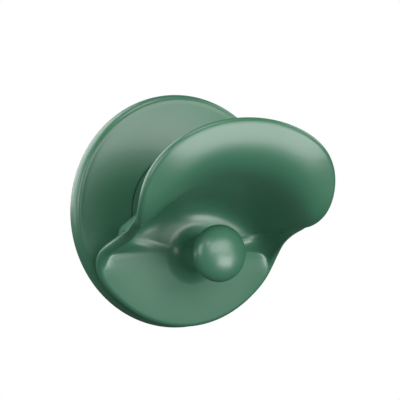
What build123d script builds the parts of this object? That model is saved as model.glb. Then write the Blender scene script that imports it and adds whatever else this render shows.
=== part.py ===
from build123d import *
import math
import os
import numpy as np

# Pacifier with a curled thumb handle, in millimetres.
# +Z is up, -Y is forward (away from the face) and +Y points into the mouth.
# The origin is the centre of the plane on which the shield's rim meets the face.
# "Forward" below always means the distance in front of that plane, so y = -forward.

# ---- driving dimensions -------------------------------------------------------
SHIELD_DIAMETER = 46.0
SHIELD_RIM = 3.8            # thickness of the shield at its rim
SHIELD_EDGE_ROUND = 1.4
SHIELD_DOME = 2.0           # rise of the front face from the rim to the middle
SHIELD_DISH = 0.9           # hollow of the mouth-side face

KNOB_DROP = 8.2             # knob axis below the centre of the shield
KNOB_DIAMETER = 11.3
KNOB_BACK = 18.2            # forward distance of the knob's back face
KNOB_EDGE = 20.2            # forward distance of the knob's widest part
KNOB_FRONT = 23.2
STEM_RADIUS = 1.6

SHELL = 2.0                 # wall thickness of the handle
SEAT = 7.6                  # forward distance at which the handle sits on the plug's boss
NECK_RADIUS = 3.5           # neck that carries the knob
NECK_FILLET = 2.4

PLUG_RADIUS = 11.3
PLUG_BACK = 4.4             # forward distance of the back of the plug's plate
PLUG_BOSS_RADIUS = 3.0
PLUG_BORE_FLOOR = 4.9
BARREL_RADIUS = 4.8
BARREL_BORE = 3.6
BARREL_END = -2.0

BEAD_RADIUS = 8.9
BEAD_BACK = 2.4             # forward distance of the seat the teat's bead rests on
TEAT_NECK_RADIUS = 6.2
TEAT_WALL = 1.3
TEAT_LENGTH = 30.0
TEAT_HEAD_RADIUS = 8.0

FIT = 0.1                   # clearance round parts that slide into one another

# Lip of the handle, right half, from the bottom of the shield up to the crest:
# sideways distance, forward distance and height of the middle of the rounded lip.
LIP = [
    (0.0, 5.0, -21.8),
    (8.6, 5.0, -20.0),
    (15.0, 5.0, -15.8),
    (17.9, 5.2, -12.4),
    (18.8, 6.1, -10.1),
    (19.0, 8.0, -8.3),
    (18.4, 11.3, -6.6),
    (17.9, 15.8, -4.9),
    (18.9, 21.6, -2.6),
    (20.1, 25.8, 0.2),
    (20.1, 28.9, 5.8),
    (16.9, 31.3, 11.4),
    (9.4, 32.3, 15.8),
    (0.0, 32.6, 17.3),
]

# Below the fold the handle's wall is crowned like the shield and swells under the knob.
LOW_WALL = 5.0              # forward distance of the wall's middle at the bottom lip
LOW_CROWN = 3.6             # how much further forward it is at the shield's centre
LOW_RADIUS = 21.9
BUMP = 1.4
BUMP_SPREAD = 5.0

# At the fold the wall runs forward. The fold is lower at the sides than in the middle.
FOLD_MIDDLE = 5.0
FOLD_DROP = 9.8
FOLD_HALF_WIDTH = 18.4
FOLD_POWER = 2.5
FOLD_SHIFT = 0.7
FOLD_SOFT_MIDDLE = 3.4      # half the height over which the wall turns
FOLD_SOFT_SIDE = 2.9

# Above the fold a broad band leans forward up to the crest.
BAND_START = 26.0
BAND_RISE = 7.1
BAND_LENGTH = 8.5

# Sampling of the handle's sections.
STATIONS = 41
WALL_POINTS = 16
SHARED_STATION = 0.12


# ---- shape of the handle's wall -------------------------------------------------
def closed_spline(points):
    """Smooth closed curve through the points; returns its value for 0 <= s < 1."""
    knots = np.array(points, dtype=float)
    count = len(knots)
    gaps = np.linalg.norm(np.roll(knots, -1, axis=0) - knots, axis=1)
    system = np.zeros((count, count))
    target = np.zeros_like(knots)
    for i in range(count):
        before, after = gaps[i - 1], gaps[i]
        system[i, i - 1] += after
        system[i, i] += 2 * (before + after)
        system[i, (i + 1) % count] += before
        step_back = (knots[i] - knots[i - 1]) / before
        step_on = (knots[(i + 1) % count] - knots[i]) / after
        target[i] = 3 * (after * step_back + before * step_on)
    slopes = np.linalg.solve(system, target)
    ends = np.concatenate([[0.0], np.cumsum(gaps)])

    def value(s):
        distance = (s % 1.0) * ends[-1]
        i = min(int(np.searchsorted(ends, distance, side="right")) - 1, count - 1)
        length = gaps[i]
        u = (distance - ends[i]) / length
        j = (i + 1) % count
        return (
            knots[i] * (1 + 2 * u) * (1 - u) ** 2
            + slopes[i] * length * u * (1 - u) ** 2
            + knots[j] * u * u * (3 - 2 * u)
            + slopes[j] * length * u * u * (u - 1)
        )

    return value


lip_curve = closed_spline(LIP + [(-x, forward, z) for x, forward, z in LIP[-2:0:-1]])


def wall_forward(x, z):
    """Forward distance of the middle of the wall above a point of the shield's plane."""
    low = LOW_WALL + LOW_CROWN * (1 - (x * x + z * z) / LOW_RADIUS ** 2)
    low += BUMP * math.exp(-(x * x + (z + KNOB_DROP) ** 2) / (2 * BUMP_SPREAD ** 2))
    band = BAND_START + BAND_RISE * (1 - math.exp(-max(z, -4.0) / BAND_LENGTH))
    across = min(abs(x) / FOLD_HALF_WIDTH, 1.3) ** FOLD_POWER
    soft = FOLD_SOFT_MIDDLE + (FOLD_SOFT_SIDE - FOLD_SOFT_MIDDLE) * across
    fold = FOLD_MIDDLE - (FOLD_DROP + FOLD_SHIFT) * across
    return low + (band - low) * 0.5 * (1 + math.tanh((z - fold) / soft))


def wall(s, t):
    """Middle of the wall: s runs round the lip, t from the knob's axis out to the lip."""
    lip_x, lip_forward, lip_z = lip_curve(s)
    x, z = t * lip_x, -KNOB_DROP + t * (lip_z + KNOB_DROP)
    miss = lip_forward - wall_forward(lip_x, lip_z)
    return np.array([x, -(wall_forward(x, z) + miss * t ** 4), z])


def wall_frame(s, t):
    """Point on the wall with the unit vectors out along it and forward off it."""
    small = 1e-4
    point = wall(s, t)
    out = wall(s, t + small) - wall(s, t - small)
    around = wall(s + small, t) - wall(s - small, t)
    normal = np.cross(around, out)
    normal /= np.linalg.norm(normal)
    if normal[1] > 0:
        normal = -normal
    out /= np.linalg.norm(out)
    out -= normal * out.dot(normal)
    return point, out / np.linalg.norm(out), normal


def neck_rise(radius):
    """Extra forward height of the wall's front where it flares into the neck."""
    reach = NECK_RADIUS + NECK_FILLET
    if radius >= reach:
        return 0.0
    return NECK_FILLET - math.sqrt(max(NECK_FILLET ** 2 - (reach - radius) ** 2, 0.0))


def even_shares(s, first):
    """Shares of t from first to the lip that are evenly spaced along the wall."""
    fine = np.linspace(first, 1.0, 200)
    points = np.array([wall(s, t) for t in fine])
    steps = np.linalg.norm(np.diff(points, axis=0), axis=1)
    distance = np.concatenate([[0.0], np.cumsum(steps)])
    return np.interp(np.linspace(0, distance[-1], WALL_POINTS), distance, fine)


def station_point(s, radius, forward):
    """Point at this distance from the knob's axis, towards the lip at one station."""
    x, _, z = lip_curve(s)
    reach = math.hypot(x, z + KNOB_DROP)
    return Vector(x / reach * radius, -forward, (z + KNOB_DROP) / reach * radius - KNOB_DROP)


def handle_skins(s):
    """Points of the front and of the back of the wall, from the neck out to the lip."""
    x, _, z = lip_curve(s)
    reach = math.hypot(x, z + KNOB_DROP)
    front = [station_point(s, NECK_RADIUS, KNOB_BACK)]
    back = [station_point(s, PLUG_BOSS_RADIUS + FIT, SEAT)]
    for share in (0.0, 0.08, 0.3, 0.65):
        radius = NECK_RADIUS + NECK_FILLET * share
        point, _, normal = wall_frame(s, radius / reach)
        skin = point + normal * SHELL / 2
        skin[1] -= neck_rise(radius)
        front.append(Vector(*skin))
    for t in even_shares(s, (NECK_RADIUS + NECK_FILLET) / reach):
        point, _, normal = wall_frame(s, t)
        front.append(Vector(*(point + normal * SHELL / 2)))
        back.append(Vector(*(point - normal * SHELL / 2)))
    return front, back


def spline_parameters(points):
    """Distances along the points as shares of the whole."""
    steps = [(q - p).length for p, q in zip(points, points[1:])]
    distance = np.concatenate([[0.0], np.cumsum(steps)])
    return list(distance / distance[-1])


def handle_section(s):
    """Closed outline of the wall from the neck out to the lip at one station.

    All stations share the parameters of one of them, so that the loft runs evenly.
    """
    front, back = handle_skins(s)
    shared_front, shared_back = handle_skins(SHARED_STATION)
    lip, out, _ = wall_frame(s, 1.0)
    tip = Vector(*(lip + out * SHELL / 2))
    bore_front = station_point(s, STEM_RADIUS + FIT, KNOB_BACK)
    bore_back = station_point(s, STEM_RADIUS + FIT, SEAT)
    return Wire([
        Edge.make_line(bore_front, front[0]),
        Edge.make_spline(front, parameters=spline_parameters(shared_front)),
        Edge.make_three_point_arc(front[-1], tip, back[-1]),
        Edge.make_spline(back[::-1], parameters=spline_parameters(shared_back[::-1])),
        Edge.make_line(back[0], bore_back),
        Edge.make_line(bore_back, bore_front),
    ])


def turned(outline, height=0.0):
    """Solid turned about the forward axis from (radius, forward) points and arcs."""
    face = Face(Wire(outline))
    solid = revolve(face, Axis((0, 0, height), (0, 1, 0)))
    return solid


def corner(radius, forward, height=0.0):
    return Vector(radius, -forward, height)


def polygon(points, height=0.0):
    corners = [corner(r, f, height) for r, f in points]
    return [Edge.make_line(p, q) for p, q in zip(corners, corners[1:] + corners[:1])]


# ---- shield: domed round disc with a stepped hole for the teat ------------------
def make_shield():
    radius = SHIELD_DIAMETER / 2
    inner = radius - SHIELD_EDGE_ROUND
    middle = SHIELD_RIM / 2
    body = turned([
        Edge.make_line(corner(0, SHIELD_DISH), corner(0, SHIELD_RIM + SHIELD_DOME)),
        Edge.make_tangent_arc(
            corner(0, SHIELD_RIM + SHIELD_DOME), Vector(1, 0, 0), corner(inner, SHIELD_RIM)),
        Edge.make_three_point_arc(
            corner(inner, SHIELD_RIM), corner(radius, middle), corner(inner, 0)),
        Edge.make_tangent_arc(
            corner(0, SHIELD_DISH), Vector(1, 0, 0), corner(inner, 0)),
    ])
    cuts = [
        (TEAT_NECK_RADIUS + FIT, -1.0, BEAD_BACK),
        (BEAD_RADIUS + FIT, BEAD_BACK, PLUG_BACK),
        (PLUG_RADIUS + FIT, PLUG_BACK, SHIELD_RIM + SHIELD_DOME + 1),
    ]
    for cut_radius, start, end in cuts:
        body -= turned(polygon([(0, start), (cut_radius, start), (cut_radius, end), (0, end)]))
    return body


# ---- core plug: presses the teat's bead into the shield, fills the teat's neck --
def make_plug():
    crown = SHIELD_RIM + SHIELD_DOME
    inner = SHIELD_DIAMETER / 2 - SHIELD_EDGE_ROUND
    dome = turned([
        Edge.make_line(corner(0, PLUG_BACK), corner(0, crown)),
        Edge.make_tangent_arc(corner(0, crown), Vector(1, 0, 0), corner(inner, SHIELD_RIM)),
        Edge.make_line(corner(inner, SHIELD_RIM), corner(inner, 0)),
        Edge.make_line(corner(inner, 0), corner(0, 0)),
        Edge.make_line(corner(0, 0), corner(0, PLUG_BACK)),
    ])
    plate = turned(polygon([
        (0, PLUG_BACK), (PLUG_RADIUS, PLUG_BACK), (PLUG_RADIUS, crown + 1), (0, crown + 1)]))
    barrel = turned(polygon([
        (BARREL_BORE, PLUG_BACK), (BARREL_RADIUS, PLUG_BACK),
        (BARREL_RADIUS, BARREL_END), (BARREL_BORE, BARREL_END)]))
    boss = turned(polygon([
        (0, PLUG_BACK), (PLUG_BOSS_RADIUS, PLUG_BACK),
        (PLUG_BOSS_RADIUS, SEAT), (0, SEAT)], -KNOB_DROP), -KNOB_DROP)
    bore = turned(polygon([
        (0, PLUG_BORE_FLOOR), (STEM_RADIUS, PLUG_BORE_FLOOR),
        (STEM_RADIUS, SEAT + 1), (0, SEAT + 1)], -KNOB_DROP), -KNOB_DROP)
    return (plate & dome) + barrel + boss - bore


# ---- teat: hollow bulb on a neck, with a bead that sits in the shield ------------
def make_teat():
    def bulb(grow, tip):
        return [
            corner(TEAT_NECK_RADIUS + grow, -2.5),
            corner(TEAT_NECK_RADIUS - 0.5 + grow, -8.0),
            corner(TEAT_NECK_RADIUS - 0.2 + grow, -12.5),
            corner(TEAT_HEAD_RADIUS + grow, -21.5),
            corner(TEAT_HEAD_RADIUS - 1.9 + grow, -27.4 + 0.4 * grow),
            corner(0, -tip),
        ]

    outer = bulb(0.0, TEAT_LENGTH)
    inner = bulb(-TEAT_WALL, TEAT_LENGTH - TEAT_WALL)
    along, across = Vector(0, 1, 0), Vector(-1, 0, 0)
    neck_out, neck_in = TEAT_NECK_RADIUS, TEAT_NECK_RADIUS - TEAT_WALL
    return turned([
        Edge.make_line(corner(neck_in, PLUG_BACK), corner(BEAD_RADIUS, PLUG_BACK)),
        Edge.make_line(corner(BEAD_RADIUS, PLUG_BACK), corner(BEAD_RADIUS, BEAD_BACK)),
        Edge.make_line(corner(BEAD_RADIUS, BEAD_BACK), corner(neck_out, BEAD_BACK)),
        Edge.make_line(corner(neck_out, BEAD_BACK), outer[0]),
        Edge.make_spline(outer, tangents=[along, across]),
        Edge.make_line(outer[-1], inner[-1]),
        Edge.make_spline(inner, tangents=[along, across]),
        Edge.make_line(inner[0], corner(neck_in, PLUG_BACK)),
    ])


# ---- knob: domed button on a stem that pins the handle to the plug ---------------
def make_knob():
    radius = KNOB_DIAMETER / 2
    height = -KNOB_DROP
    stem_end = PLUG_BORE_FLOOR + 0.2
    return turned([
        Edge.make_line(corner(0, stem_end, height), corner(0, KNOB_FRONT, height)),
        Edge.make_spline(
            [corner(0, KNOB_FRONT, height), corner(radius * 0.72, KNOB_FRONT - 0.95, height),
             corner(radius, KNOB_EDGE, height)],
            tangents=[Vector(1, 0, 0), Vector(0, 1, 0)]),
        Edge.make_spline(
            [corner(radius, KNOB_EDGE, height), corner(radius - 1.0, KNOB_BACK + 0.5, height),
             corner(NECK_RADIUS, KNOB_BACK, height)],
            tangents=[Vector(0, 1, 0), Vector(-1, 0, 0)]),
        Edge.make_line(corner(NECK_RADIUS, KNOB_BACK, height), corner(STEM_RADIUS, KNOB_BACK, height)),
        Edge.make_line(corner(STEM_RADIUS, KNOB_BACK, height), corner(STEM_RADIUS, stem_end, height)),
        Edge.make_line(corner(STEM_RADIUS, stem_end, height), corner(0, stem_end, height)),
    ], height)


# ---- handle: curled shell, lofted as a right half and mirrored --------------------
def make_handle():
    # Ruled between many stations: a smooth loft swings off the wall between them.
    stations = np.linspace(0.0, 0.5, STATIONS)
    half = Solid.make_loft([handle_section(s) for s in stations], ruled=True)
    return half.fuse(mirror(half, Plane.YZ))


parts = {
    "shield": make_shield(),
    "core_plug": make_plug(),
    "teat": make_teat(),
    "handle": make_handle(),
    "knob": make_knob(),
}

os.makedirs("parts", exist_ok=True)
for name, solid in parts.items():
    export_step(solid, f"parts/{name}.step")
    box = solid.bounding_box()
    print(name, solid.is_valid, len(solid.solids()), round(solid.volume, 1), box.min, box.max)
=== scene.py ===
import math
import bpy
import numpy as np
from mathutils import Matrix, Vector


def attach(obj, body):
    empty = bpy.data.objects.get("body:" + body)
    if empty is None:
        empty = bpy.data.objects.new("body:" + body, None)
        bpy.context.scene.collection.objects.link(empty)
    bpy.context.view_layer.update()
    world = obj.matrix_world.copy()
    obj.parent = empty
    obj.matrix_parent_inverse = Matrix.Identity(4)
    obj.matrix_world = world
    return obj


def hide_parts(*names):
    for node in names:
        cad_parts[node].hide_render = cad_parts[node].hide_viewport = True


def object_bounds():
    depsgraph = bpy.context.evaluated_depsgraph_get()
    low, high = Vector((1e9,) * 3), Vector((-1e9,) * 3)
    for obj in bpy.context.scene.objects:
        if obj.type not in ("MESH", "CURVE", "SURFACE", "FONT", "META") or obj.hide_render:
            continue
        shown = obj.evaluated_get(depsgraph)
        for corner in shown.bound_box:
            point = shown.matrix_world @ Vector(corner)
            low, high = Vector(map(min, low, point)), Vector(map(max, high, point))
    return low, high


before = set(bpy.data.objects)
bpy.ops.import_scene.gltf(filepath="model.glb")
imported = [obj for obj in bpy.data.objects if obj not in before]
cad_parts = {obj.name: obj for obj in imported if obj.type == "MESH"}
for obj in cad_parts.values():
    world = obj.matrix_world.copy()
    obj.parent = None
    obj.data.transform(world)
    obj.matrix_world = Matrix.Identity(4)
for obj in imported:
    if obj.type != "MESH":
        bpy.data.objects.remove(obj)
cad_low, cad_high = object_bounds()
MM = 0.001
CAMERA_YAW = math.radians(-28.0)

# The handle's wall has the CAD's formula and is sampled finely here.
# Lengths are in millimetres, and "forward" is the distance along -Y from the face plane.
SHELL, KNOB_DROP = 2.0, 8.2
NECK_RADIUS, NECK_FILLET = 3.5, 2.4
NECK_ROUND = 0.35           # rounding of the neck's front edge
BORE = 1.7
SEAT = 7.6                  # back of the wall where it sits on the plug's boss
SEAT_RADII = (4.2, 3.1, BORE)
KNOB_BACK, KNOB_EDGE, KNOB_FRONT, KNOB_RADIUS = 18.2, 20.2, 23.2, 5.65
LIP = [
    (0.0, 5.0, -21.8),
    (8.6, 5.0, -20.0),
    (15.0, 5.0, -15.8),
    (17.9, 5.2, -12.4),
    (18.8, 6.1, -10.1),
    (19.0, 8.0, -8.3),
    (18.4, 11.3, -6.6),
    (17.9, 15.8, -4.9),
    (18.9, 21.6, -2.6),
    (20.1, 25.8, 0.2),
    (20.1, 28.9, 5.8),
    (16.9, 31.3, 11.4),
    (9.4, 32.3, 15.8),
    (0.0, 32.6, 17.3),
]
LOW_WALL, LOW_CROWN, LOW_RADIUS = 5.0, 3.6, 21.9   # lower wall, crowned like the shield
BUMP, BUMP_SPREAD = 1.4, 5.0                       # swelling of the wall under the knob
FOLD_MIDDLE, FOLD_DROP, FOLD_HALF_WIDTH, FOLD_POWER = 5.0, 9.8, 18.4, 2.5
FOLD_SHIFT = 0.7
FOLD_SOFT_MIDDLE, FOLD_SOFT_SIDE = 3.4, 2.9
BAND_START, BAND_RISE, BAND_LENGTH = 26.0, 7.1, 8.5


def closed_spline(points):
    """Smooth closed curve through the points; value(s) takes an array of 0 <= s < 1."""
    knots = np.array(points, dtype=float)
    count = len(knots)
    gaps = np.linalg.norm(np.roll(knots, -1, axis=0) - knots, axis=1)
    system = np.zeros((count, count))
    target = np.zeros_like(knots)
    for i in range(count):
        before, after = gaps[i - 1], gaps[i]
        system[i, i - 1] += after
        system[i, i] += 2 * (before + after)
        system[i, (i + 1) % count] += before
        step_back = (knots[i] - knots[i - 1]) / before
        step_on = (knots[(i + 1) % count] - knots[i]) / after
        target[i] = 3 * (after * step_back + before * step_on)
    slopes = np.linalg.solve(system, target)
    ends = np.concatenate([[0.0], np.cumsum(gaps)])

    def value(s):
        distance = np.mod(s, 1.0) * ends[-1]
        i = np.clip(np.searchsorted(ends, distance, side="right") - 1, 0, count - 1)
        length = gaps[i]
        u = ((distance - ends[i]) / length)[..., None]
        length = length[..., None]
        j = (i + 1) % count
        return (
            knots[i] * (1 + 2 * u) * (1 - u) ** 2
            + slopes[i] * length * u * (1 - u) ** 2
            + knots[j] * u * u * (3 - 2 * u)
            + slopes[j] * length * u * u * (u - 1)
        )

    return value


lip_curve = closed_spline(LIP + [(-x, forward, z) for x, forward, z in LIP[-2:0:-1]])


def wall_forward(x, z):
    """Forward distance of the middle of the wall above a point of the plan."""
    low = LOW_WALL + LOW_CROWN * (1 - (x * x + z * z) / LOW_RADIUS ** 2)
    low = low + BUMP * np.exp(-(x * x + (z + KNOB_DROP) ** 2) / (2 * BUMP_SPREAD ** 2))
    band = BAND_START + BAND_RISE * (1 - np.exp(-np.maximum(z, -4.0) / BAND_LENGTH))
    across = np.minimum(np.abs(x) / FOLD_HALF_WIDTH, 1.3) ** FOLD_POWER
    soft = FOLD_SOFT_MIDDLE + (FOLD_SOFT_SIDE - FOLD_SOFT_MIDDLE) * across
    fold = FOLD_MIDDLE - FOLD_DROP * across
    return low + (band - low) * 0.5 * (1 + np.tanh((z - fold + FOLD_SHIFT * across) / soft))


def wall(s, t):
    """Middle of the wall: s runs round the lip, t from the knob's axis out to the lip."""
    lip = lip_curve(s)
    x, z = t * lip[..., 0], -KNOB_DROP + t * (lip[..., 2] + KNOB_DROP)
    miss = lip[..., 1] - wall_forward(lip[..., 0], lip[..., 2])
    return np.stack([x, -(wall_forward(x, z) + miss * t ** 4), z], axis=-1)


def unit(v):
    return v / np.linalg.norm(v, axis=-1, keepdims=True)


def wall_frame(s, t):
    """Point on the wall with the unit vectors out along it and forward off it."""
    small = 1e-4
    out = unit(wall(s, t + small) - wall(s, t - small))
    around = unit(wall(s + small, t) - wall(s - small, t))
    normal = unit(np.cross(around, out))
    normal = np.where(normal[..., 1:2] > 0, -normal, normal)
    out = unit(out - normal * np.sum(out * normal, axis=-1, keepdims=True))
    return wall(s, t), out, normal


def mesh_object(name, verts, faces, material, node):
    """Smooth mesh on the root body that stands in for one CAD node."""
    mesh = bpy.data.meshes.new(name)
    mesh.from_pydata([tuple(v) for v in verts], [], faces)
    mesh.validate()
    mesh.update()
    for polygon in mesh.polygons:
        polygon.use_smooth = True
    obj = bpy.data.objects.new(name, mesh)
    bpy.context.collection.objects.link(obj)
    mesh.materials.append(material)
    bpy.context.view_layer.update()
    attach(obj, "root")
    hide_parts(node)
    return obj


def ring_faces(rings, loop):
    """Quads of a closed surface of rings, each a closed loop of points."""
    faces = []
    for i in range(rings):
        a, b = i * loop, ((i + 1) % rings) * loop
        for j in range(loop):
            k = (j + 1) % loop
            faces.append((a + j, a + k, b + k, b + j))
    return faces


# ---- materials ------------------------------------------------------------------
def moulded_plastic(name, colour, roughness=0.36, coat=0.15, speckle=0.02):
    """Moulded plastic: slight mottling of the pigment, a fine skin and a thin gloss."""
    material = bpy.data.materials.new(name)
    material.use_nodes = True
    nodes, links = material.node_tree.nodes, material.node_tree.links
    shader = nodes["Principled BSDF"]
    place = nodes.new("ShaderNodeTexCoord")
    cloud = nodes.new("ShaderNodeTexNoise")
    cloud.inputs["Scale"].default_value = 90.0
    cloud.inputs["Detail"].default_value = 3.0
    tint = nodes.new("ShaderNodeValToRGB")
    tint.color_ramp.elements[0].position = 0.3
    tint.color_ramp.elements[1].position = 0.7
    tint.color_ramp.elements[0].color = tuple(c * (1 - speckle) for c in colour) + (1,)
    tint.color_ramp.elements[1].color = tuple(c * (1 + speckle) for c in colour) + (1,)
    grain = nodes.new("ShaderNodeTexNoise")
    grain.inputs["Scale"].default_value = 2600.0
    grain.inputs["Detail"].default_value = 2.0
    bump = nodes.new("ShaderNodeBump")
    bump.inputs["Strength"].default_value = 0.03
    bump.inputs["Distance"].default_value = 0.00002
    gloss = nodes.new("ShaderNodeMapRange")
    gloss.inputs["To Min"].default_value = roughness - 0.03
    gloss.inputs["To Max"].default_value = roughness + 0.03
    links.new(place.outputs["Object"], cloud.inputs["Vector"])
    links.new(place.outputs["Object"], grain.inputs["Vector"])
    links.new(cloud.outputs["Fac"], tint.inputs["Fac"])
    links.new(cloud.outputs["Fac"], gloss.inputs["Value"])
    links.new(tint.outputs["Color"], shader.inputs["Base Color"])
    links.new(gloss.outputs["Result"], shader.inputs["Roughness"])
    links.new(grain.outputs["Fac"], bump.inputs["Height"])
    links.new(bump.outputs["Normal"], shader.inputs["Normal"])
    shader.inputs["Specular IOR Level"].default_value = 1.0
    shader.inputs["Coat Weight"].default_value = coat
    shader.inputs["Coat Roughness"].default_value = 0.12
    shader.inputs["Subsurface Weight"].default_value = 0.0
    return material


def silicone(name):
    """Pale milky silicone, slightly clear and faintly clouded."""
    material = bpy.data.materials.new(name)
    material.use_nodes = True
    nodes, links = material.node_tree.nodes, material.node_tree.links
    shader = nodes["Principled BSDF"]
    place = nodes.new("ShaderNodeTexCoord")
    cloud = nodes.new("ShaderNodeTexNoise")
    cloud.inputs["Scale"].default_value = 70.0
    tint = nodes.new("ShaderNodeValToRGB")
    tint.color_ramp.elements[0].color = (0.80, 0.78, 0.72, 1)
    tint.color_ramp.elements[1].color = (0.88, 0.87, 0.82, 1)
    links.new(place.outputs["Object"], cloud.inputs["Vector"])
    links.new(cloud.outputs["Fac"], tint.inputs["Fac"])
    links.new(tint.outputs["Color"], shader.inputs["Base Color"])
    shader.inputs["Roughness"].default_value = 0.22
    shader.inputs["Transmission Weight"].default_value = 0.12
    shader.inputs["IOR"].default_value = 1.41
    shader.inputs["Subsurface Weight"].default_value = 0.3
    shader.inputs["Subsurface Scale"].default_value = 0.003
    return material


GREEN = (0.060, 0.225, 0.125)
handle_plastic = moulded_plastic("handle_plastic", GREEN)
shield_plastic = moulded_plastic("shield_plastic", GREEN)
knob_plastic = moulded_plastic("knob_plastic", GREEN)
plug_plastic = moulded_plastic("plug_plastic", GREEN, roughness=0.45, coat=0.2)
teat_silicone = silicone("teat_silicone")


# ---- handle ---------------------------------------------------------------------
def make_handle():
    stations, open_steps, lip_steps, back_steps = 400, 110, 14, 80
    s = np.arange(stations) / stations
    lip = lip_curve(s)
    side = np.stack([lip[:, 0], lip[:, 2] + KNOB_DROP], axis=-1)
    side = side / np.linalg.norm(side, axis=-1, keepdims=True)
    fine = np.linspace(0, 1, 401)
    grid_s, grid_t = np.meshgrid(s, fine, indexing="ij")
    radii = wall(grid_s, grid_t)
    radii = np.hypot(radii[..., 0], radii[..., 2] + KNOB_DROP)
    reach = NECK_RADIUS + NECK_FILLET

    def share_at(radius):
        return np.array([np.interp(radius, row, fine) for row in radii])

    def point_at(radius, forward):
        ring = np.zeros((stations, 3))
        ring[:, 0], ring[:, 2] = side[:, 0] * radius, side[:, 1] * radius - KNOB_DROP
        ring[:, 1] = -forward
        return ring

    columns = []
    for angle in np.linspace(0, math.pi / 2, 6):
        columns.append(point_at(
            NECK_RADIUS - NECK_ROUND * (1 - math.sin(angle)),
            KNOB_BACK - NECK_ROUND * (1 - math.cos(angle))))
    flare = NECK_RADIUS + NECK_FILLET * (1 - np.cos(np.linspace(0.0, math.pi / 2, 16)))
    first = share_at(reach)
    shares = [share_at(r) for r in flare[:-1]]
    shares += [first + (1 - first) * f for f in np.linspace(0, 1, open_steps)]
    for t in shares:
        middle, out, normal = wall_frame(s, t)
        radius = np.hypot(middle[:, 0], middle[:, 2] + KNOB_DROP)
        rise = NECK_FILLET - np.sqrt(np.maximum(
            NECK_FILLET ** 2 - np.maximum(reach - radius, 0) ** 2, 0))
        skin = middle + normal * SHELL / 2
        skin[:, 1] -= rise
        columns.append(skin)
    middle, out, normal = wall_frame(s, np.ones(stations))
    for angle in np.linspace(0, math.pi, lip_steps + 2)[1:-1]:
        columns.append(middle + SHELL / 2 * (normal * math.cos(angle) + out * math.sin(angle)))
    start = share_at(reach)
    for f in np.linspace(1, 0, back_steps):
        middle, out, normal = wall_frame(s, start + (1 - start) * f)
        columns.append(middle - normal * SHELL / 2)
    for radius in SEAT_RADII:
        columns.append(point_at(radius, SEAT))
    columns.append(point_at(BORE, KNOB_BACK))
    verts = np.stack(columns, axis=1) * MM
    loop = verts.shape[1]
    faces = ring_faces(stations, loop)
    verts = verts.reshape(-1, 3)
    return mesh_object("handle_shell", verts, faces, handle_plastic, "handle")


def smooth_line(points, per_span=10):
    """Points along a smooth open curve through the given ones."""
    p = np.array(points, dtype=float)
    padded = np.vstack([2 * p[0] - p[1], p, 2 * p[-1] - p[-2]])
    line = []
    for i in range(1, len(padded) - 2):
        a, b, c, d = padded[i - 1:i + 3]
        for u in np.linspace(0, 1, per_span, endpoint=False):
            line.append(0.5 * (2 * b + (c - a) * u + (2 * a - 5 * b + 4 * c - d) * u * u
                               + (3 * b - a - 3 * c + d) * u ** 3))
    line.append(p[-1])
    return line


def arc(centre, radius, start, end, steps=12):
    angles = np.radians(np.linspace(start, end, steps))
    return [(centre[0] + radius * math.cos(a), centre[1] + radius * math.sin(a)) for a in angles]


def lathe(name, outline, height, material, node, segments=256, poles=False):
    """Turns (radius, forward) points about the forward axis at this height."""
    outline = [tuple(p) for p in outline]
    angles = 2 * math.pi * np.arange(segments) / segments
    verts, faces = [], []
    if poles:
        inner = outline[1:-1]
    else:
        inner = outline
    loop = len(inner)
    for a in angles:
        for r, forward in inner:
            verts.append((r * math.cos(a) * MM, -forward * MM, (r * math.sin(a) + height) * MM))
    for i in range(segments):
        p, q = i * loop, ((i + 1) % segments) * loop
        for j in range(loop - 1):
            faces.append((p + j, p + j + 1, q + j + 1, q + j))
        if not poles:
            faces.append((p + loop - 1, p, q, q + loop - 1))
    if poles:
        verts.append((0, -outline[0][1] * MM, height * MM))
        verts.append((0, -outline[-1][1] * MM, height * MM))
        top, end = len(verts) - 2, len(verts) - 1
        for i in range(segments):
            p, q = i * loop, ((i + 1) % segments) * loop
            faces.append((top, p, q))
            faces.append((end, q + loop - 1, p + loop - 1))
    return mesh_object(name, verts, faces, material, node)


# ---- shield: domed front, rounded rim, shallow dish at the back -------------------
def make_shield():
    radius, edge, rim, dome, dish = 23.0, 1.4, 3.8, 2.0, 0.9
    flat = radius - edge
    front_radius = (flat ** 2 + dome ** 2) / (2 * dome)
    back_radius = (flat ** 2 + dish ** 2) / (2 * dish)

    def front(r):
        return rim + dome - front_radius + math.sqrt(front_radius ** 2 - r * r)

    def back(r):
        return dish - back_radius + math.sqrt(back_radius ** 2 - r * r)

    outline = [(6.3, back(6.3)), (6.3, 2.4), (9.0, 2.4), (9.0, 4.4), (11.4, 4.4),
               (11.4, front(11.4) - 0.12), (11.5, front(11.5))]
    outline += [(r, front(r)) for r in np.linspace(11.8, flat - 0.6, 34)]
    for angle in np.linspace(90, -90, 33):
        a = math.radians(angle)
        bulge = 0.0
        if abs(angle) < 89.9:
            bulge = edge * math.cos(a) * abs(math.cos(a)) ** -0.25
        outline.append((flat + bulge, rim / 2 + rim / 2 * math.sin(a)))
    outline += [(r, back(r)) for r in np.linspace(flat - 0.6, 6.6, 30)]
    return lathe("shield_disc", outline, 0.0, shield_plastic, "shield", segments=320)


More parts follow.
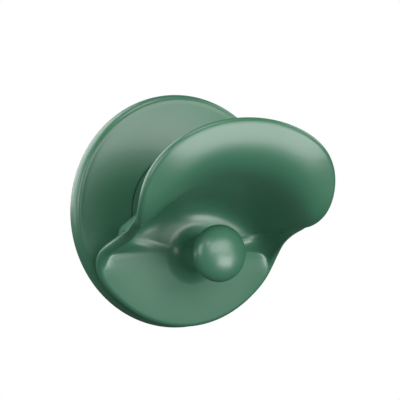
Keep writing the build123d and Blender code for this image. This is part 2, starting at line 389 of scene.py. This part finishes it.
# ---- knob --------------------------------------------------------------------------
def make_knob():
    outline = [(0, KNOB_FRONT)]
    for angle in np.linspace(3, 90, 34):
        a = math.radians(angle)
        outline.append((KNOB_RADIUS * math.sin(a) ** 0.92,
                        KNOB_EDGE + (KNOB_FRONT - KNOB_EDGE) * math.cos(a)))
    for angle in np.linspace(8, 90, 14):
        a = math.radians(angle)
        outline.append((NECK_RADIUS + (KNOB_RADIUS - NECK_RADIUS) * math.cos(a),
                        KNOB_EDGE - (KNOB_EDGE - KNOB_BACK) * math.sin(a)))
    outline += [(1.62, KNOB_BACK), (1.6, KNOB_BACK - 0.02), (1.6, 6.2), (1.2, 5.8), (0, 5.8)]
    return lathe("knob_button", outline, -KNOB_DROP, knob_plastic, "knob", poles=True)


# ---- teat ---------------------------------------------------------------------------
def make_teat():
    neck, wall_thick, length, head, head_middle = 6.2, 1.3, 30.0, 8.0, 21.8

    def bulb(grow, tip):
        rows = [(neck + grow, -2.5), (neck - 0.5 + grow, -8.0), (neck - 0.2 + grow, -12.5),
                (head - 0.5 + grow, -18.0), (head + grow, -head_middle)]
        body = smooth_line(rows, 9)
        r0, depth = head + grow, tip - head_middle
        for angle in np.linspace(6, 90, 22):
            a = math.radians(angle)
            body.append((r0 * math.cos(a), -head_middle - depth * math.sin(a)))
        return [tuple(p) for p in body]

    outer = bulb(0.0, length)
    inner = bulb(-wall_thick, length - wall_thick)
    outer[-1] = (0.0001, outer[-1][1])
    inner[-1] = (0.0001, inner[-1][1])
    outline = [(neck - wall_thick, 4.4)]
    outline += arc((8.5, 4.0), 0.4, 90, 0, 5) + arc((8.5, 2.8), 0.4, 0, -90, 5)
    outline += [(neck + 0.2, 2.4), (neck, 2.2)] + outer + inner[::-1]
    return lathe("teat_bulb", outline, 0.0, teat_silicone, "teat", segments=192)


make_handle()
make_shield()
make_knob()
make_teat()
plug_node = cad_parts["core_plug"]
for material_slot in plug_node.material_slots:
    material_slot.material = plug_plastic


# ---- floor -----------------------------------------------------------------------------
def make_floor():
    """Self-lit pale sheet that curves up behind the object and casts nothing on it."""
    width, steps, near, far, bend, top = 3.0, 24, -4.0, 0.8, 0.6, 3.0
    low = cad_low.z - 0.02
    line = [(near, low), (far, low)]
    for angle in np.linspace(0, math.pi / 2, steps):
        line.append((far + bend * math.sin(angle), low + bend * (1 - math.cos(angle))))
    line.append((far + bend, top))
    turn = CAMERA_YAW
    verts, faces = [], []
    for along, up in line:
        for across in (-width, width):
            verts.append((across * math.cos(turn) - along * math.sin(turn),
                          across * math.sin(turn) + along * math.cos(turn), up))
    for i in range(len(line) - 1):
        faces.append((2 * i, 2 * i + 1, 2 * i + 3, 2 * i + 2))
    mesh = bpy.data.meshes.new("floor")
    mesh.from_pydata(verts, [], faces)
    for polygon in mesh.polygons:
        polygon.use_smooth = True
    floor = bpy.data.objects.new("floor", mesh)
    bpy.context.collection.objects.link(floor)
    material = bpy.data.materials.new("pale_paper")
    material.use_nodes = True
    nodes = material.node_tree.nodes
    nodes.remove(nodes["Principled BSDF"])
    glow = nodes.new("ShaderNodeEmission")
    glow.inputs["Color"].default_value = (1, 1, 1, 1)
    glow.inputs["Strength"].default_value = 1.0
    material.node_tree.links.new(glow.outputs["Emission"], nodes["Material Output"].inputs["Surface"])
    mesh.materials.append(material)
    floor.visible_diffuse = False
    floor.visible_glossy = False
    floor.visible_transmission = False
    floor.visible_shadow = False


make_floor()


# ---- light ---------------------------------------------------------------------------------
LIGHT_DISTANCE = 0.6
LIT_POINT = Vector((0, -0.012, 0))


def area_light(name, direction, width, height, power):
    data = bpy.data.lights.new(name, "AREA")
    data.shape = "RECTANGLE"
    data.size, data.size_y = width, height
    data.energy = power
    light = bpy.data.objects.new(name, data)
    direction = Vector(direction).normalized()
    light.location = direction * LIGHT_DISTANCE + LIT_POINT
    light.rotation_mode = "QUATERNION"
    light.rotation_quaternion = direction.to_track_quat("Z", "Y")
    bpy.context.collection.objects.link(light)
    return light


area_light("key_softbox", (0.20, -0.95, 0.22), 0.56, 0.26, 1.60)
area_light("top_softbox", (0.00, -0.17, 0.98), 0.30, 0.30, 0.80)
area_light("low_right_card", (0.44, -0.86, -0.28), 0.34, 0.22, 1.30)
area_light("left_card", (-0.88, -0.39, 0.28), 0.26, 0.40, 1.00)
area_light("right_strip", (0.85, -0.00, 0.53), 0.28, 0.28, 0.60)
area_light("small_card", (-0.36, -0.81, 0.45), 0.08, 0.08, 0.20)
area_light("back_softbox", (-0.37, 0.80, 0.47), 0.60, 0.60, 2.60)
area_light("back_left_card", (-0.89, 0.42, 0.17), 0.30, 0.40, 0.70)

world = bpy.data.worlds.new("studio")
world.use_nodes = True
bpy.context.scene.world = world
background = world.node_tree.nodes["Background"]
background.inputs["Color"].default_value = (0.9, 0.95, 1.0, 1)
background.inputs["Strength"].default_value = 0.08

# ---- camera ----------------------------------------------------------------------------------
DISTANCE = 1.5
VIEW_WIDTH = 0.0791
camera_data = bpy.data.cameras.new("camera")
camera_data.sensor_width = 36.0
camera_data.lens = 36.0 * DISTANCE / VIEW_WIDTH
camera_data.clip_start, camera_data.clip_end = 0.05, 20.0
camera = bpy.data.objects.new("camera", camera_data)
bpy.context.collection.objects.link(camera)
back = Vector((math.sin(CAMERA_YAW), -math.cos(CAMERA_YAW), 0.0))
right = Vector((math.cos(CAMERA_YAW), math.sin(CAMERA_YAW), 0.0))
aim = Vector((0, -0.0019, 0)) + right * 0.00484 + Vector((0, 0, 0.00223))
camera.location = aim + back * DISTANCE
camera.rotation_mode = "QUATERNION"
camera.rotation_quaternion = back.to_track_quat("Z", "Y")
bpy.context.scene.camera = camera
bpy.context.scene.view_settings.view_transform = "Standard"
bpy.context.scene.view_settings.look = "None"
